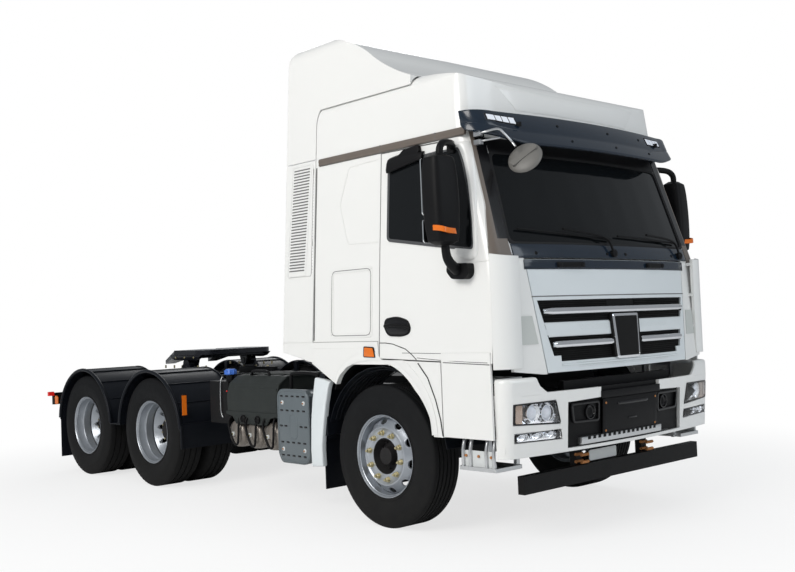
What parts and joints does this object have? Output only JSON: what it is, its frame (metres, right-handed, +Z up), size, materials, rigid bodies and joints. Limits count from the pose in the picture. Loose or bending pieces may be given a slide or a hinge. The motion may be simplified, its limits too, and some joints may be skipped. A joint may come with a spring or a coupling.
{
  "type": "semi truck tractor unit",
  "caption": "High-roof cab-over tractor unit with a tilting sleeper cab, steered front axle, driven tandem axles with twin wheels and a rocking coupling plate.",
  "frame": {"origin": "on the ground, in the middle of the overall length and width", "axes": "+X forward, +Y to the vehicle's left, +Z up"},
  "size_m": [6.8972, 3.022, 3.7275],
  "materials": {
    "frame_paint": "satin",
    "cast_grey": "rough cast",
    "body_white": "gloss",
    "black_trim": "fine grain",
    "lamp_glass": "clear",
    "bright_alloy": "satin",
    "battery_cover": "fine grain",
    "vessel_metal": "satin",
    "slate_cover": "satin",
    "guard_black": "fine grain",
    "coupling_black": "greased",
    "tinted_glass": "tinted",
    "visor_blue": "tinted gloss",
    "interior_grey": "grained",
    "seat_fabric": "woven",
    "grille_black": "semi gloss",
    "tyre": "matt",
    "wheel_silver": "silver satin"
  },
  "bodies": {
    "chassis": {"frame": "frame_paint", "front_axle": "frame_paint", "rear_bogie": "frame_paint", "powertrain": "cast_grey", "bumper": "body_white", "bumper_insert": "black_trim", "front_lamps": "lamp_glass", "underrun_beam": "black_trim", "entry_steps": "bright_alloy", "fuel_tank": "bright_alloy", "battery_box": "battery_cover", "air_tanks": "vessel_metal", "urea_tank": "black_trim", "exhaust_box": "slate_cover", "front_guards": "guard_black", "rear_fenders": "guard_black", "fifth_wheel_base": "coupling_black", "rear_lamps": "black_trim"},
    "cab": {"cab_shell": "body_white", "high_roof": "body_white", "windscreen": "tinted_glass", "side_deflectors": "body_white", "roof_fairing": "body_white", "sun_visor": "visor_blue", "dashboard": "interior_grey", "seats": "seat_fabric", "bunk": "seat_fabric", "corner_blades": "body_white", "locker_boxes": "interior_grey", "kerb_mirror": "black_trim"},
    "left_door": {"door_left": "body_white", "door_glass_left": "tinted_glass", "mirror_left": "black_trim"},
    "right_door": {"door_right": "body_white", "door_glass_right": "tinted_glass", "mirror_right": "black_trim"},
    "flap": {"front_flap": "body_white", "grille": "grille_black"},
    "left_lid": {"locker_lid_left": "body_white"},
    "right_lid": {"locker_lid_right": "body_white"},
    "left_knuckle": {"knuckle_left": "frame_paint"},
    "right_knuckle": {"knuckle_right": "frame_paint"},
    "steering_rod": {"tie_rod": "frame_paint"},
    "coupling_plate": {"fifth_wheel": "coupling_black"},
    "front_left_wheel": {"front_tyre_left": "tyre", "front_rim_left": "wheel_silver"},
    "front_right_wheel": {"front_tyre_right": "tyre", "front_rim_right": "wheel_silver"},
    "mid_left_wheels": {"mid_tyres_left": "tyre", "mid_rims_left": "wheel_silver"},
    "mid_right_wheels": {"mid_tyres_right": "tyre", "mid_rims_right": "wheel_silver"},
    "rear_left_wheels": {"rear_tyres_left": "tyre", "rear_rims_left": "wheel_silver"},
    "rear_right_wheels": {"rear_tyres_right": "tyre", "rear_rims_right": "wheel_silver"}
  },
  "joints": [
    {"name": "cab_tilt", "type": "hinge", "parent": "chassis", "child": "cab", "pos_m": [3.216, 0, 0.8], "axis": [0, 1, 0], "range_deg": [0, 50]},
    {"name": "left_door_hinge", "type": "hinge", "parent": "cab", "child": "left_door", "pos_m": [3.24, 1.234, 1.5], "axis": [0, 0, -1], "range_deg": [0, 70]},
    {"name": "right_door_hinge", "type": "hinge", "parent": "cab", "child": "right_door", "pos_m": [3.24, -1.234, 1.5], "axis": [0, 0, 1], "range_deg": [0, 70]},
    {"name": "flap_hinge", "type": "hinge", "parent": "cab", "child": "flap", "pos_m": [3.38, 0, 1.866], "axis": [0, -1, 0], "range_deg": [0, 80]},
    {"name": "left_lid_hinge", "type": "hinge", "parent": "cab", "child": "left_lid", "pos_m": [1.861, 1.199, 1.862], "axis": [1, 0, 0], "range_deg": [0, 90]},
    {"name": "right_lid_hinge", "type": "hinge", "parent": "cab", "child": "right_lid", "pos_m": [1.861, -1.199, 1.862], "axis": [-1, 0, 0], "range_deg": [0, 90]},
    {"name": "steer_right", "type": "hinge", "parent": "chassis", "child": "right_knuckle", "pos_m": [2.116, -0.885, 0.515], "axis": [0, 0, 1], "range_deg": [-35, 35]},
    {"name": "steer_left", "type": "hinge", "parent": "chassis", "child": "left_knuckle", "pos_m": [2.116, 0.885, 0.515], "axis": [0, 0, 1], "range_deg": [-35, 35]},
    {"name": "tie_rod_pivot", "type": "hinge", "parent": "right_knuckle", "child": "steering_rod", "pos_m": [1.896, -0.885, 0.39], "axis": [0, 0, 1], "range_deg": [-35, 35]},
    {"name": "coupling_tilt", "type": "hinge", "parent": "chassis", "child": "coupling_plate", "pos_m": [-1.804, 0, 1.12], "axis": [0, 1, 0], "range_deg": [-12, 12]},
    {"name": "front_left_wheel_spin", "type": "hinge", "parent": "left_knuckle", "child": "front_left_wheel", "pos_m": [2.116, 1.05, 0.515], "axis": [0, 1, 0], "continuous": true},
    {"name": "front_right_wheel_spin", "type": "hinge", "parent": "right_knuckle", "child": "front_right_wheel", "pos_m": [2.116, -1.05, 0.515], "axis": [0, 1, 0], "continuous": true},
    {"name": "mid_left_wheels_spin", "type": "hinge", "parent": "chassis", "child": "mid_left_wheels", "pos_m": [-1.184, 0.905, 0.515], "axis": [0, 1, 0], "continuous": true},
    {"name": "mid_right_wheels_spin", "type": "hinge", "parent": "chassis", "child": "mid_right_wheels", "pos_m": [-1.184, -0.905, 0.515], "axis": [0, 1, 0], "continuous": true},
    {"name": "rear_left_wheels_spin", "type": "hinge", "parent": "chassis", "child": "rear_left_wheels", "pos_m": [-2.534, 0.905, 0.515], "axis": [0, 1, 0], "continuous": true},
    {"name": "rear_right_wheels_spin", "type": "hinge", "parent": "chassis", "child": "rear_right_wheels", "pos_m": [-2.534, -0.905, 0.515], "axis": [0, 1, 0], "continuous": true}
  ],
  "couplings": [
    {"joint": "steer_left", "follows": "steer_right", "ratio": 1},
    {"joint": "tie_rod_pivot", "follows": "steer_right", "ratio": -1}
  ]
}
